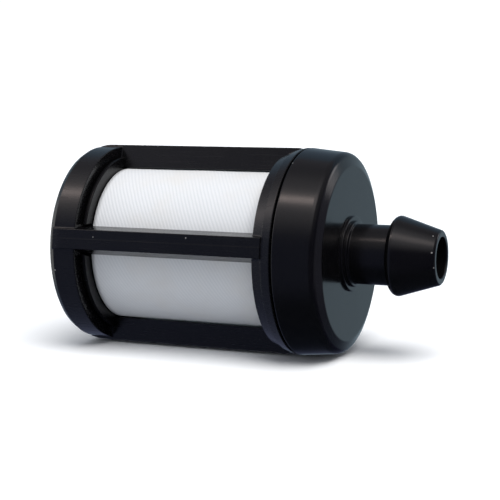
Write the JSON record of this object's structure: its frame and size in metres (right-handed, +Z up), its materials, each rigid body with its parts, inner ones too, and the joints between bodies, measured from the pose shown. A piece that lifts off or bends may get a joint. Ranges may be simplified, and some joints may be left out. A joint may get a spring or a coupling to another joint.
{
  "type": "in-tank fuel filter",
  "caption": "Small engine in-tank fuel filter: slotted black cage round a white fabric-covered element, closed by a cap with a barbed hose outlet.",
  "frame": {"origin": "middle of the part's length and width, on the surface that it lies on", "axes": "+X along the filter's axis towards the outlet, +Z up, axis level"},
  "size_m": [0.0328, 0.018, 0.018],
  "materials": {
    "black_plastic": "satin, slightly glossy",
    "natural_plastic": "matte",
    "seal_rubber": "matte",
    "felt": "fibrous",
    "white_weave": "fine twill",
    "plated_steel": "satin"
  },
  "bodies": {
    "housing": {"cage": "black_plastic"},
    "cartridge": {"outlet_cap": "black_plastic", "seal_ring": "seal_rubber", "element_collar": "black_plastic", "element_end_cap": "black_plastic", "core_tube": "natural_plastic", "felt_layer": "felt", "screen_sleeve": "white_weave", "sinker_weight": "plated_steel"}
  },
  "joints": [
    {"name": "cap_pull", "type": "slide", "parent": "housing", "child": "cartridge", "axis": [1, 0, 0], "range_m": [0, 0.022]}
  ]
}
